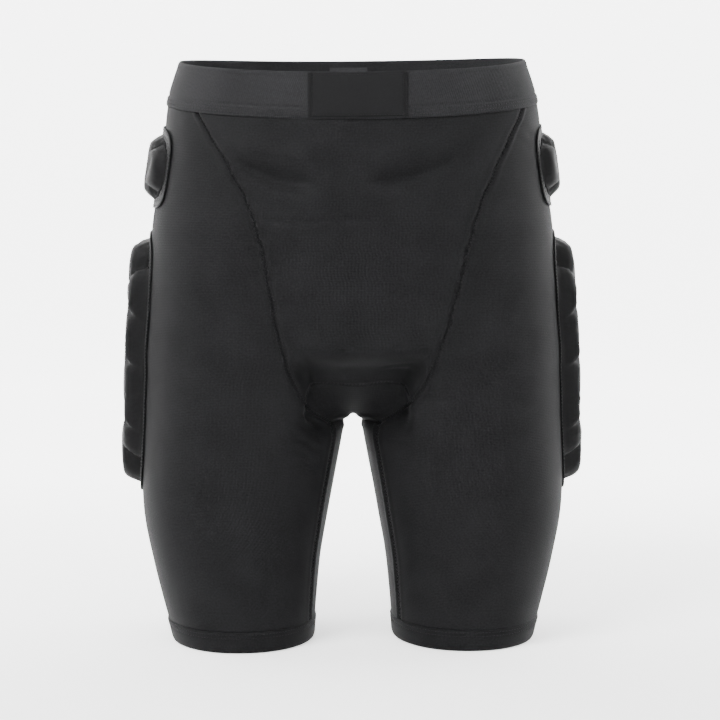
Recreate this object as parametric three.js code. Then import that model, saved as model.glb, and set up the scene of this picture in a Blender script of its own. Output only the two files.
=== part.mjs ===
// Padded impact shorts: a knitted shell with a woven waistband, and five foam pads sewn on the outside.
// Millimetres, +Z up, the wearer faces -Y. The two hems stand on z = 0.
// Every piece is a layer laid over one smooth body surface, so the layers nest without touching.

import * as THREE from "three";
import { mergeVertices } from "three/addons/utils/BufferGeometryUtils.js";

// ---------- driving dimensions ----------

const HEM_HEIGHT = 17; // tall band at each leg opening
const CROTCH_HEIGHT = 192; // underside of the torso
const CREASE_HEIGHT = 205; // where the front and seat panels stop above the crotch
const INNER_SEAM_TOP = 182; // top of the inner thigh panels
const WAISTBAND_BOTTOM = 450;
const WAISTBAND_TOP = 486;
const WAIST_TILT = 0.155; // rise of the waist per millimetre from front to back
const WAIST_DIP = 0.0005; // extra fall of the waist at front and back, per square millimetre
const INNER_PANEL_ANGLE = THREE.MathUtils.degToRad(29); // half width of an inner thigh panel

const GAP = 0.3; // clearance between neighbours
const KNIT = 1.0; // thickness of the shell fabric
const BAND = 2.0; // thickness of waistband and hems
const BACKING = 0.9; // cloth under each pad
const COVER = 1.1; // cloth over each pad
const LAYER_GAP = 0.9; // clearance between stacked layers of a pad
const THICK_FOAM = 10.5; // foam of the thigh and tailbone pads
const THIN_FOAM = 5.5; // foam of the hip pads
const FOAM_BOTTOM = BACKING + 2 * LAYER_GAP;
const COVER_EASE = 1.0; // clearance between foam and cover
const CELL_GROOVE = 5; // width of the groove between two foam blocks
const FLANGE = 7; // flat stitched edge of a pad cover
const SKIRT = 7; // sloping side of a pad cover

// ---------- materials ----------

const FINISHES = {
  knit: { color: 0x1d1d1f, roughness: 0.78, metalness: 0 },
  elastic: { color: 0x2b2c2f, roughness: 0.85, metalness: 0 },
  patch: { color: 0x08080a, roughness: 0.7, metalness: 0 },
  cover: { color: 0x17171a, roughness: 0.55, metalness: 0 },
  backing: { color: 0x141416, roughness: 0.9, metalness: 0 },
  foam: { color: 0x4a4b50, roughness: 0.95, metalness: 0 },
  label: { color: 0xd9d9d6, roughness: 0.6, metalness: 0 },
};

// ---------- the body surface ----------

// A smooth curve through [height, value] knots.
function profile(knots) {
  const slopes = knots.map((knot, i) => {
    const before = knots[Math.max(i - 1, 0)];
    const after = knots[Math.min(i + 1, knots.length - 1)];
    return (after[1] - before[1]) / (after[0] - before[0]);
  });
  return (height) => {
    const last = knots.length - 2;
    const found = knots.findIndex((knot) => height < knot[0]) - 1;
    const i = found === -2 ? last : Math.max(found, 0);
    const span = knots[i + 1][0] - knots[i][0];
    const t = THREE.MathUtils.clamp((height - knots[i][0]) / span, 0, 1);
    const rise = knots[i + 1][1] - knots[i][1];
    const a = slopes[i] * span - rise;
    const b = rise - slopes[i + 1] * span;
    return knots[i][1] + rise * t + t * (1 - t) * (a * (1 - t) + b * t);
  };
}

const TORSO = {
  halfWidth: profile([[190, 150], [260, 158], [300, 165], [350, 167], [400, 160], [450, 154.5], [486, 143.5]]),
  front: profile([[190, 92], [260, 98], [350, 109], [400, 108], [450, 103], [486, 98]]),
  back: profile([[190, 108], [260, 121], [320, 128], [400, 117], [450, 106], [486, 101]]),
  capHeight: 250, // the torso rounds off towards the crotch below this
  roundness: 2.2,
};

const LEG = {
  centre: profile([[0, 93.5], [65, 98.8], [115, 98.8], [190, 92], [250, 87], [330, 79]]),
  halfWidth: profile([[0, 59.5], [65, 70.5], [115, 79.3], [190, 86], [250, 89], [330, 84]]),
  halfDepth: profile([[0, 74], [65, 80], [115, 86], [190, 92], [250, 96], [330, 98]]),
  offset: profile([[0, -4], [100, 0], [190, 5], [330, 12]]),
  capHeight: 285, // the legs round off inside the torso above this
  capReach: 130,
  roundness: 2.1,
};

const CORE_OFFSET = profile([[180, 92], [330, 76], [486, 60]]); // inside point that sideways rays start from

function smoothMin(a, b, reach) {
  const h = Math.max(reach - Math.abs(a - b), 0) / reach;
  return Math.min(a, b) - (h * h * reach) / 4;
}

function power(x, n) {
  return Math.abs(x) ** n;
}

function torsoField(x, y, z) {
  const depth = y < 0 ? TORSO.front(z) : TORSO.back(z);
  const width = TORSO.halfWidth(z);
  const n = TORSO.roundness;
  const below = Math.max(TORSO.capHeight - z, 0) / (TORSO.capHeight - CROTCH_HEIGHT);
  const q = (power(x / width, n) + power(y / depth, n) + power(below, n)) ** (1 / n);
  return (q - 1) * depth;
}

function legField(x, y, z) {
  const n = LEG.roundness;
  const across = (x - LEG.centre(z)) / LEG.halfWidth(z);
  const along = (y - LEG.offset(z)) / LEG.halfDepth(z);
  const above = Math.max(z - LEG.capHeight, 0) / LEG.capReach;
  const q = (power(across, n) + power(along, n) + power(above, n)) ** (1 / n);
  return (q - 1) * LEG.halfWidth(z);
}

// Negative inside the wearer, positive outside, zero on the fabric's outer face.
function body(x, y, z) {
  const legs = smoothMin(legField(x, y, z), legField(-x, y, z), 8);
  return smoothMin(legs, torsoField(x, y, z), 22);
}

function normalAt(point) {
  const step = 0.5;
  const { x, y, z } = point;
  return new THREE.Vector3(
    body(x + step, y, z) - body(x - step, y, z),
    body(x, y + step, z) - body(x, y - step, z),
    body(x, y, z + step) - body(x, y, z - step),
  ).normalize();
}

// The waist is tilted, so a level of the shorts is a slightly curved sheet that grows steeper upwards.
function levelHeight(level, y) {
  const amount = THREE.MathUtils.clamp((level - CREASE_HEIGHT) / (WAISTBAND_BOTTOM - CREASE_HEIGHT), 0, 1);
  return level + amount * (WAIST_TILT * y - WAIST_DIP * y * y);
}

// The first point where a path (a function of distance) meets the surface, found by strides and then halving.
function crossing(path) {
  const stride = 2;
  const isInside = (r) => body(...path(r).toArray()) < 0;
  const startsInside = isInside(0);
  let far = stride;
  while (isInside(far) === startsInside) {
    far += stride;
    if (far > 400) {
      throw new Error("a ray never meets the body surface");
    }
  }
  let near = far - stride;
  for (let i = 0; i < 20; i += 1) {
    const middle = (near + far) / 2;
    if (isInside(middle) === startsInside) {
      near = middle;
    } else {
      far = middle;
    }
  }
  return path(near);
}

// The point of the surface at an angle round one leg or side: 0 points outwards, positive turns to the back.
function sidePoint(side, angle, level) {
  const x0 = level < CREASE_HEIGHT ? LEG.centre(level) : CORE_OFFSET(level);
  const y0 = LEG.offset(Math.min(level, 330));
  const path = (r) => {
    const y = y0 + r * Math.sin(angle);
    return new THREE.Vector3(side * (x0 + r * Math.cos(angle)), y, levelHeight(level, y));
  };
  return crossing(path);
}

// The point of the front (facing -1) or back (facing 1) of the surface at a given x.
function facePoint(facing, x, level) {
  const path = (r) => new THREE.Vector3(x, facing * r, levelHeight(level, facing * r));
  return crossing(path);
}

// ---------- seams ----------

const seamEnd = sidePoint(1, Math.PI - INNER_PANEL_ANGLE, INNER_SEAM_TOP).x;
const seamX = profile([
  [INNER_SEAM_TOP, seamEnd],
  [CREASE_HEIGHT, 45],
  [262, 66],
  [371, 91],
  [WAISTBAND_BOTTOM, 131],
]);

// The angle, round one side, of the seam between leg panel and front (facing -1) or seat (facing 1) panel.
function seamAngle(facing, level) {
  if (level <= INNER_SEAM_TOP) {
    return facing * (Math.PI - INNER_PANEL_ANGLE);
  }
  const point = facePoint(facing, seamX(level), level);
  const x0 = level < CREASE_HEIGHT ? LEG.centre(level) : CORE_OFFSET(level);
  const y0 = LEG.offset(Math.min(level, 330));
  return Math.atan2(point.y - y0, point.x - x0);
}

// ---------- closed solids laid on the surface ----------

// Moves every vertex of a unit geometry, welds it and makes its faces point out.
function warped(geometry, place) {
  geometry.deleteAttribute("normal");
  geometry.deleteAttribute("uv");
  const merged = mergeVertices(geometry, 1e-5);
  const position = merged.attributes.position;
  const point = new THREE.Vector3();
  for (let i = 0; i < position.count; i += 1) {
    point.fromBufferAttribute(position, i);
    const moved = place(point);
    position.setXYZ(i, moved.x, moved.y, moved.z);
  }
  facingOut(merged);
  merged.computeVertexNormals();
  return merged;
}

function facingOut(geometry) {
  const index = geometry.index;
  const position = geometry.attributes.position;
  const corner = [0, 1, 2].map(() => new THREE.Vector3());
  let volume = 0;
  for (let i = 0; i < index.count; i += 3) {
    corner.forEach((vector, k) => vector.fromBufferAttribute(position, index.getX(i + k)));
    volume += corner[0].dot(corner[1].clone().cross(corner[2]));
  }
  if (volume > 0) {
    return;
  }
  for (let i = 0; i < index.count; i += 3) {
    const second = index.getX(i + 1);
    index.setX(i + 1, index.getX(i + 2));
    index.setX(i + 2, second);
  }
}

function raised(point, distance) {
  return point.clone().addScaledVector(normalAt(point), distance);
}

function raisedLevel(point, distance) {
  const outward = normalAt(point).setZ(0).normalize();
  return point.clone().addScaledVector(outward, distance);
}

// A sheet of fabric: surfaceAt(u, v) gives its line on the body, for u and v from 0 to 1.
function sheet(columns, rows, inner, outer, surfaceAt) {
  const box = new THREE.BoxGeometry(1, 1, 1, columns, rows, 1);
  return warped(box, (p) => {
    const distance = THREE.MathUtils.lerp(inner, outer, p.z + 0.5);
    return raised(surfaceAt(p.x + 0.5, p.y + 0.5), distance);
  });
}

// A closed band: surfaceAt(angle, v) gives its line on the body, for v from 0 to 1.
function band(segments, inner, outer, surfaceAt) {
  const outline = [[1, 0], [2, 0], [2, 1], [1, 1], [1, 0]].map(([x, y]) => new THREE.Vector2(x, y));
  const ring = new THREE.LatheGeometry(outline, segments);
  return warped(ring, (p) => {
    const distance = THREE.MathUtils.lerp(inner, outer, Math.hypot(p.x, p.z) - 1);
    return raisedLevel(surfaceAt(Math.atan2(p.z, p.x), p.y), distance);
  });
}

// ---------- shell panels ----------

// Levels shared by every panel edge, so that neighbours meet vertex to vertex.
const LOWER_LEVELS = evenSteps(HEM_HEIGHT + GAP, INNER_SEAM_TOP, 8);
const SADDLE_LEVELS = evenSteps(INNER_SEAM_TOP, CREASE_HEIGHT, 2);
const UPPER_LEVELS = evenSteps(CREASE_HEIGHT, WAISTBAND_BOTTOM - GAP, 12);

function evenSteps(from, to, count) {
  return Array.from({ length: count + 1 }, (_, i) => THREE.MathUtils.lerp(from, to, i / count));
}

function pick(levels, v) {
  return levels[Math.round(v * (levels.length - 1))];
}

// Half of the seam gap, as an angle round one side.
const SEAM_INSET = (GAP / 2 + 0.1) / 85;

function legPanel(side) {
  const levels = [...LOWER_LEVELS, ...SADDLE_LEVELS.slice(1), ...UPPER_LEVELS.slice(1)];
  return sheet(18, levels.length - 1, -KNIT, 0, (u, v) => {
    const level = pick(levels, v);
    const front = seamAngle(-1, level) + SEAM_INSET;
    const back = seamAngle(1, level) - SEAM_INSET;
    return sidePoint(side, THREE.MathUtils.lerp(front, back, u), level);
  });
}

function centrePanel(facing) {
  return sheet(12, UPPER_LEVELS.length - 1, -KNIT, 0, (u, v) => {
    const nudge = v === 0 ? GAP : 0;
    const level = pick(UPPER_LEVELS, v);
    const half = seamX(level) - GAP / 2 - 0.1;
    return facePoint(facing, THREE.MathUtils.lerp(-half, half, u), level + nudge);
  });
}

function innerPanel(side) {
  const rows = LOWER_LEVELS.length - 1;
  return sheet(4, rows, -KNIT, 0, (u, v) => {
    const half = INNER_PANEL_ANGLE - SEAM_INSET;
    const nudge = v === 1 ? -GAP : 0;
    return sidePoint(side, Math.PI + THREE.MathUtils.lerp(-half, half, u), pick(LOWER_LEVELS, v) + nudge);
  });
}

// The saddle: each row runs from leg to leg over the crotch, on a fan of rays from the air between the legs.
function crotchGusset() {
  const across = evenSteps(1, -1, 4).map((t) => Math.PI + t * (INNER_PANEL_ANGLE - SEAM_INSET));
  const edge = [
    ...SADDLE_LEVELS.slice(1).reverse().map((level) => seamPoint(-1, level)),
    ...across.map((angle) => sidePoint(1, angle, INNER_SEAM_TOP + GAP)),
    ...SADDLE_LEVELS.slice(1).map((level) => seamPoint(1, level)),
  ];
  return sheet(10, edge.length - 1, -KNIT, 0, (u, v) => {
    const end = edge[Math.round(v * (edge.length - 1))];
    const origin = new THREE.Vector3(0, end.y, end.z);
    const lean = THREE.MathUtils.lerp(-Math.PI / 2, Math.PI / 2, v);
    const turn = u * Math.PI;
    const direction = new THREE.Vector3(
      Math.cos(turn),
      -Math.sin(turn) * Math.sin(lean),
      Math.sin(turn) * Math.cos(lean),
    );
    return crossing((r) => origin.clone().addScaledVector(direction, r));
  });
}

function seamPoint(facing, level) {
  const nudge = level === CREASE_HEIGHT ? -GAP : 0;
  const inset = GAP / 2 + 0.1;
  return facePoint(facing, seamX(level) - inset, level + nudge);
}

// ---------- waistband, hems and labels ----------

function waistPoint(angle, level) {
  const path = (r) => {
    const y = r * Math.sin(angle);
    return new THREE.Vector3(r * Math.cos(angle), y, levelHeight(level, y));
  };
  return crossing(path);
}

function waistband() {
  return band(56, -BAND / 2, BAND / 2, (angle, v) => {
    return waistPoint(angle, THREE.MathUtils.lerp(WAISTBAND_BOTTOM, WAISTBAND_TOP, v));
  });
}

function hem(side) {
  return band(36, -BAND / 2, BAND / 2, (angle, v) => sidePoint(side, angle, v * HEM_HEIGHT));
}

function waistLabel({ facing, width, bottom, top, inner, outer }) {
  return sheet(8, 1, inner, outer, (u, v) => {
    const x = THREE.MathUtils.lerp(-width / 2, width / 2, u);
    return facePoint(facing, x, THREE.MathUtils.lerp(bottom, top, v));
  });
}

const FRONT_PATCH = {
  facing: -1,
  width: 78,
  bottom: WAISTBAND_BOTTOM + 1,
  top: WAISTBAND_TOP - 1,
  inner: BAND / 2 + GAP,
  outer: BAND / 2 + GAP + 0.9,
};

const CARE_LABEL = {
  facing: 1,
  width: 34,
  bottom: WAISTBAND_BOTTOM + 7,
  top: WAISTBAND_TOP - 6,
  inner: -BAND / 2 - 2 * GAP - 0.6,
  outer: -BAND / 2 - 2 * GAP,
};

// ---------- pads ----------

// A side pad is laid out in millimetres round the body (s, from the outer line to the back) and up (t).
function sidePad({ side, level, shift, radius, lean = 0, ...rest }) {
  const at = (s, t) => sidePoint(side, (shift + s - (lean * t) / 100) / radius, level + t);
  return { at, ...rest };
}

function backPad({ level, ...rest }) {
  return { at: (s, t) => facePoint(1, s, level + t), ...rest };
}

// Maps a square onto a square with round corners; larger corner values are squarer.
function roundedSquare(u, v, corner) {
  const reach = Math.max(Math.abs(u), Math.abs(v));
  if (reach === 0) {
    return [0, 0];
  }
  const shrink = (power(u / reach, corner) + power(v / reach, corner)) ** (-1 / corner);
  return [u * shrink, v * shrink];
}

// Stretches an even grid so that rows fall on the flange, the foot and the shoulder of the cover.
function coverGrid(t, half) {
  const edge = [0, FLANGE / half, (FLANGE + SKIRT) / half];
  const steps = Math.round(t * 2 * COVER_STEPS);
  const fromEdge = Math.min(steps, 2 * COVER_STEPS - steps);
  const value = fromEdge < 2
    ? edge[fromEdge]
    : THREE.MathUtils.mapLinear(fromEdge, 2, COVER_STEPS, edge[2], 1);
  return (1 - value) * (t < 0.5 ? -1 : 1);
}

const COVER_STEPS = 6; // grid steps from a cover's edge to its middle

function padCover({ at, width, height, corner, foam }) {
  const steps = 2 * COVER_STEPS;
  const box = new THREE.BoxGeometry(1, 1, 1, steps, steps, 1);
  return warped(box, (p) => {
    const u = coverGrid(p.x + 0.5, width / 2);
    const v = coverGrid(p.y + 0.5, height / 2);
    const [s, t] = roundedSquare(u, v, corner);
    const fromEdge = Math.min((1 - Math.abs(u)) * width, (1 - Math.abs(v)) * height) / 2;
    const rise = THREE.MathUtils.clamp((fromEdge - FLANGE) / SKIRT, 0, 1);
    const bottom = FOAM_BOTTOM + rise * (foam + COVER_EASE);
    return raised(at(s * (width / 2), t * (height / 2)), bottom + (p.z + 0.5) * COVER);
  });
}

function padBacking({ at, width, height, corner }) {
  const columns = Math.ceil(width / 10);
  const rows = Math.ceil(height / 12);
  const box = new THREE.BoxGeometry(1, 1, 1, columns, rows, 1);
  return warped(box, (p) => {
    const [s, t] = roundedSquare(2 * p.x, 2 * p.y, corner);
    return raised(at(s * (width / 2), t * (height / 2)), LAYER_GAP + (p.z + 0.5) * BACKING);
  });
}

// One block of foam in a grid of chevron cells, which fall away from the pad's middle line.
function foamBlock({ at, width, height, corner, foam, rowEdges, columns, chevron }, row, column) {
  const inset = 2 * (FLANGE + SKIRT + 3);
  const padWidth = width - inset;
  const padHeight = height - inset;
  const [low, high] = rowEdges.slice(row, row + 2);
  const grooveU = columns > 1 ? CELL_GROOVE / padWidth : 0;
  const grooveV = rowEdges.length > 2 ? CELL_GROOVE / padHeight : 0;
  const gridColumns = Math.ceil(padWidth / columns / 10);
  const gridRows = Math.ceil((padHeight * (high - low)) / 10);
  const box = new THREE.BoxGeometry(1, 1, 1, gridColumns, gridRows, 1);
  return warped(box, (p) => {
    const crown = p.z > 0 ? 0.93 : 1;
    const [u, v] = roundedSquare(2 * p.x * crown, 2 * p.y * crown, 5);
    const across = (column + 0.5) / columns + (u / 2) * (1 / columns - grooveU);
    const up = (low + high) / 2 + (v / 2) * (high - low - grooveV);
    const a = 2 * across - 1;
    const fade = Math.min(up / rowEdges[1], (1 - up) / (1 - rowEdges.at(-2)), 1);
    const drop = chevron * (Math.abs(a) - 0.5) * fade;
    const b = 2 * up - 1;
    const [s, t] = roundedSquare(a, b, corner);
    const point = at(s * (padWidth / 2), t * (padHeight / 2) - drop);
    return raised(point, FOAM_BOTTOM + (p.z + 0.5) * foam);
  });
}

// Sizes, then the foam cells: edges of the rows as fractions of the height, and the fall of the chevrons.
const HIP_PAD = { level: 398, width: 92, height: 67, shift: -12, radius: 96, corner: 5, foam: THIN_FOAM };
const HIP_CELLS = { rowEdges: [0, 1], columns: 1, chevron: 0 };
const THIGH_PAD = {
  level: 233, width: 126, height: 221, shift: 24, radius: 92, lean: 6, corner: 5, foam: THICK_FOAM,
};
const THIGH_CELLS = { rowEdges: [0, 0.31, 0.6, 0.82, 1], columns: 2, chevron: 36 };
const TAILBONE_PAD = { level: 352, width: 116, height: 150, corner: 4, foam: THICK_FOAM };
const TAILBONE_CELLS = { rowEdges: [0, 0.36, 0.7, 1], columns: 2, chevron: 28 };

// ---------- assembly ----------

const shorts = new THREE.Group();

function addPiece(name, finish, geometry) {
  const mesh = new THREE.Mesh(geometry, new THREE.MeshStandardMaterial(FINISHES[finish]));
  mesh.name = name;
  shorts.add(mesh);
}

function addPad(name, pad) {
  addPiece(`${name}_backing`, "backing", padBacking(pad));
  addPiece(`${name}_cover`, "cover", padCover(pad));
  const rows = pad.rowEdges.length - 1;
  const single = rows * pad.columns === 1;
  for (let row = 0; row < rows; row += 1) {
    for (let column = 0; column < pad.columns; column += 1) {
      const cell = single ? "foam" : `foam_${row + 1}${"ab"[column]}`;
      addPiece(`${name}_${cell}`, "foam", foamBlock(pad, row, column));
    }
  }
}

addPiece("front_panel", "knit", centrePanel(-1));
addPiece("seat_panel", "knit", centrePanel(1));
addPiece("crotch_gusset", "knit", crotchGusset());
addPiece("waistband", "elastic", waistband());
addPiece("waistband_patch", "patch", waistLabel(FRONT_PATCH));
addPiece("care_label", "label", waistLabel(CARE_LABEL));

for (const [word, side] of [["left", 1], ["right", -1]]) {
  addPiece(`${word}_leg_panel`, "knit", legPanel(side));
  addPiece(`${word}_inner_thigh_panel`, "knit", innerPanel(side));
  addPiece(`${word}_hem`, "knit", hem(side));
  addPad(`${word}_hip_pad`, sidePad({ side, ...HIP_PAD, ...HIP_CELLS }));
  addPad(`${word}_thigh_pad`, sidePad({ side, ...THIGH_PAD, ...THIGH_CELLS }));
}

addPad("tailbone_pad", backPad({ ...TAILBONE_PAD, ...TAILBONE_CELLS }));

// The origin is under the middle of the object's box.
const extent = new THREE.Box3().setFromObject(shorts, true);
shorts.position.y = -(extent.min.y + extent.max.y) / 2;

export default shorts;
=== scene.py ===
"""Padded impact shorts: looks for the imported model.

The shell, the waistband, the pads and their threads are laid over one smooth body surface, the same one
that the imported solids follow. Surface work is done in millimetres and turned into metres at the end.
"""

import math

import bpy
import numpy as np
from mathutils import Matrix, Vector


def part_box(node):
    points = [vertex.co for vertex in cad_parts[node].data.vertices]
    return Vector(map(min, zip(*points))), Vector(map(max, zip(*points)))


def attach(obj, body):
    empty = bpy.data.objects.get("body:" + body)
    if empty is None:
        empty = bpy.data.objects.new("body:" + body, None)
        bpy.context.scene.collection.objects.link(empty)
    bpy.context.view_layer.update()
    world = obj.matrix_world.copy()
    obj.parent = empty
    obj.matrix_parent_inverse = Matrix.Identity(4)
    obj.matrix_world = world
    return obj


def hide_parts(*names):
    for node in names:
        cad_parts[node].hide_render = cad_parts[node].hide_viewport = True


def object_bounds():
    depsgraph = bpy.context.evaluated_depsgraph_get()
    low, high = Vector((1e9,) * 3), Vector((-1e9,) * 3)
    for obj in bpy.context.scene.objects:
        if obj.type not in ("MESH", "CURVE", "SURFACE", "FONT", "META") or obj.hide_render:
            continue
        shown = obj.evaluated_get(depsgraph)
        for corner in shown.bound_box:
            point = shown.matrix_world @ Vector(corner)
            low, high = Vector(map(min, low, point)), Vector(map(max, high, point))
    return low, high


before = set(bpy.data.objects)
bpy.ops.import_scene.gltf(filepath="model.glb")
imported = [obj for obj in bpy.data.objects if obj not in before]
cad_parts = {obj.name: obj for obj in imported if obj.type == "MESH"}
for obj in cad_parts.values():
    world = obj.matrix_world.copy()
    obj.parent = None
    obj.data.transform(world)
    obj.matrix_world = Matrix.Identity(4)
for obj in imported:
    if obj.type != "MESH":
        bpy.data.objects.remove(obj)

CAD_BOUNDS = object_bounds()
BODY = "root"
MM = 0.001

# ---------- driving dimensions, in millimetres ----------


def size_mm(node):
    low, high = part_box(node)
    return [(high[i] - low[i]) / MM for i in range(3)]


HEM_HEIGHT = size_mm("left_hem")[2]
CROTCH_HEIGHT = 192
CREASE_HEIGHT = 205
INNER_SEAM_TOP = 182
WAISTBAND_BOTTOM = 450
WAISTBAND_TOP = 486
WAIST_TILT = 0.155
WAIST_DIP = 0.0005
WAIST_ROLL = 0.012
INNER_PANEL_ANGLE = math.radians(29)
LEG_RADIUS = 85

KNIT = 1.0
BAND = 2.0
BACKING = 0.9
COVER = 1.1
LAYER_GAP = 0.9
THICK_FOAM = 10.5
THIN_FOAM = 5.5
COVER_EASE = 1.0
FOAM_BOTTOM = BACKING + 2 * LAYER_GAP
FLANGE = 7
SKIRT = 7

GRID = 2.5  # spacing of the fabric grids
PAD_GRID = 2.0  # spacing of the pad cover grids

# ---------- the body surface ----------


def profile(knots):
    """A smooth curve through (height, value) knots."""
    heights, values = np.array(knots, float).T
    last = len(knots) - 1
    after = np.minimum(np.arange(last + 1) + 1, last)
    before = np.maximum(np.arange(last + 1) - 1, 0)
    slopes = (values[after] - values[before]) / (heights[after] - heights[before])

    def value_at(height):
        i = np.clip(np.searchsorted(heights, height, side="right") - 1, 0, last - 1)
        span = heights[i + 1] - heights[i]
        t = np.clip((height - heights[i]) / span, 0, 1)
        rise = values[i + 1] - values[i]
        a = slopes[i] * span - rise
        b = rise - slopes[i + 1] * span
        return values[i] + rise * t + t * (1 - t) * (a * (1 - t) + b * t)

    return value_at


TORSO_WIDTH = profile([
    (190, 150), (260, 158), (300, 165), (350, 167), (400, 160), (450, 154.5), (486, 143.5),
])
TORSO_FRONT = profile([(190, 92), (260, 98), (350, 109), (400, 108), (450, 103), (486, 98)])
TORSO_BACK = profile([(190, 108), (260, 121), (320, 128), (400, 117), (450, 106), (486, 101)])
TORSO_CAP = 250
TORSO_ROUNDNESS = 2.2

LEG_CENTRE = profile([(0, 93.5), (65, 98.8), (115, 98.8), (190, 92), (250, 87), (330, 79)])
LEG_WIDTH = profile([(0, 59.5), (65, 70.5), (115, 79.3), (190, 86), (250, 89), (330, 84)])
LEG_DEPTH = profile([(0, 74), (65, 80), (115, 86), (190, 92), (250, 96), (330, 98)])
LEG_OFFSET = profile([(0, -4), (100, 0), (190, 5), (330, 12)])
LEG_CAP = 285
LEG_CAP_REACH = 130
LEG_ROUNDNESS = 2.1

CORE_OFFSET = profile([(180, 92), (330, 76), (486, 60)])
CORE_TOP = 330

# The frame's middle is under the middle of the object's box, the body surface's is not.
SHIFT = sum(corner[1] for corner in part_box("left_hem")) / 2 - LEG_OFFSET(HEM_HEIGHT) * MM


def smooth_min(a, b, reach):
    h = np.maximum(reach - np.abs(a - b), 0) / reach
    return np.minimum(a, b) - h * h * reach / 4


def torso_field(x, y, z):
    depth = np.where(y < 0, TORSO_FRONT(z), TORSO_BACK(z))
    n = TORSO_ROUNDNESS
    below = np.maximum(TORSO_CAP - z, 0) / (TORSO_CAP - CROTCH_HEIGHT)
    q = (np.abs(x / TORSO_WIDTH(z)) ** n + np.abs(y / depth) ** n + below ** n) ** (1 / n)
    return (q - 1) * depth


def leg_field(x, y, z):
    n = LEG_ROUNDNESS
    width = LEG_WIDTH(z)
    across = np.abs((x - LEG_CENTRE(z)) / width)
    along = np.abs((y - LEG_OFFSET(z)) / LEG_DEPTH(z))
    above = np.maximum(z - LEG_CAP, 0) / LEG_CAP_REACH
    return ((across ** n + along ** n + above ** n) ** (1 / n) - 1) * width


def body(p):
    """Negative inside the wearer, positive outside, for points p of shape (..., 3)."""
    x, y, z = p[..., 0], p[..., 1], p[..., 2]
    legs = smooth_min(leg_field(x, y, z), leg_field(-x, y, z), 8)
    return smooth_min(legs, torso_field(x, y, z), 22)


def body_normal(p):
    step = 0.5
    parts = []
    for axis in range(3):
        move = np.zeros(3)
        move[axis] = step
        parts.append(body(p + move) - body(p - move))
    return unit(np.stack(parts, axis=-1))


def unit(v):
    return v / np.maximum(np.linalg.norm(v, axis=-1, keepdims=True), 1e-9)


def level_height(level, x, y):
    amount = np.clip((level - CREASE_HEIGHT) / (WAISTBAND_BOTTOM - CREASE_HEIGHT), 0, 1)
    return level + amount * (WAIST_TILT * y - WAIST_DIP * y * y + WAIST_ROLL * x)


def crossing(path, shape, stride=6.0):
    """The first point where each path (a function of distance) meets the surface."""
    starts_inside = body(path(np.zeros(shape))) < 0
    near = np.zeros(shape)
    found = np.zeros(shape, bool)
    reach = 0.0
    while not found.all():
        if reach > 400:
            raise RuntimeError(f"{np.count_nonzero(~found)} rays miss the surface")
        reach += stride
        crossed = (body(path(np.full(shape, reach))) < 0) != starts_inside
        near = np.where(crossed & ~found, reach - stride, near)
        found |= crossed
    far = near + stride
    for _ in range(12):
        middle = (near + far) / 2
        before = (body(path(middle)) < 0) == starts_inside
        near = np.where(before, middle, near)
        far = np.where(before, far, middle)
    return path(near)


def core_at(level):
    x0 = np.where(level < CREASE_HEIGHT, LEG_CENTRE(level), CORE_OFFSET(level))
    return x0, LEG_OFFSET(np.minimum(level, CORE_TOP))


def side_point(side, angle, level):
    """Round one leg or side: angle 0 points outwards, positive turns to the back."""
    angle, level = np.broadcast_arrays(np.asarray(angle, float), np.asarray(level, float))
    x0, y0 = core_at(level)

    def path(r):
        x = side * (x0 + r * np.cos(angle))
        y = y0 + r * np.sin(angle)
        return np.stack([x, y, level_height(level, x, y)], axis=-1)

    return crossing(path, angle.shape)


def face_point(facing, x, level):
    """The front (facing -1) or back (facing 1) of the surface at a given x."""
    x, level = np.broadcast_arrays(np.asarray(x, float), np.asarray(level, float))

    def path(r):
        y = facing * r
        return np.stack([x, y, level_height(level, x, y)], axis=-1)

    return crossing(path, x.shape)


def waist_point(angle, level):
    angle, level = np.broadcast_arrays(np.asarray(angle, float), np.asarray(level, float))

    def path(r):
        x = r * np.cos(angle)
        y = r * np.sin(angle)
        return np.stack([x, y, level_height(level, x, y)], axis=-1)

    return crossing(path, angle.shape)


# ---------- seams ----------

SEAM_END = float(side_point(1, math.pi - INNER_PANEL_ANGLE, INNER_SEAM_TOP)[0])
SEAM_X = profile([
    (INNER_SEAM_TOP, SEAM_END), (CREASE_HEIGHT, 45), (262, 66), (371, 91), (WAISTBAND_BOTTOM, 131),
])
SEAM_SKEW = profile([(INNER_SEAM_TOP, 0), (300, 5), (371, 6), (WAISTBAND_BOTTOM, 4)])


def seam_x(side, facing, level):
    """Distance of a seam from the middle; the front seams are worn slightly to one side."""
    above = np.clip((level - CREASE_HEIGHT) / 40, 0, 1)
    wobble = 0.35 * above * (np.sin(level / 3.9 + side) + np.sin(level / 6.7 + facing))
    return SEAM_X(level) + wobble + (side * SEAM_SKEW(level) if facing < 0 else 0)


def seam_point(side, facing, level):
    """A point of the seam between leg panel and front or seat panel, at a level above the inner panels."""
    return face_point(facing, side * seam_x(side, facing, level), level)


def seam_angle(side, facing, level):
    point = seam_point(side, facing, np.maximum(level, INNER_SEAM_TOP))
    x0, y0 = core_at(level)
    above = np.arctan2(point[..., 1] - y0, side * point[..., 0] - x0)
    return np.where(level <= INNER_SEAM_TOP, facing * (math.pi - INNER_PANEL_ANGLE), above)


# ---------- meshes from grids ----------


def lengths_along(points, axis):
    """Running length along one axis of a grid of points, from its first row or column."""
    steps = np.linalg.norm(np.diff(points, axis=axis), axis=-1)
    pad = [(0, 0), (0, 0)]
    pad[axis] = (1, 0)
    return np.cumsum(np.pad(steps, pad), axis=axis)


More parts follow.
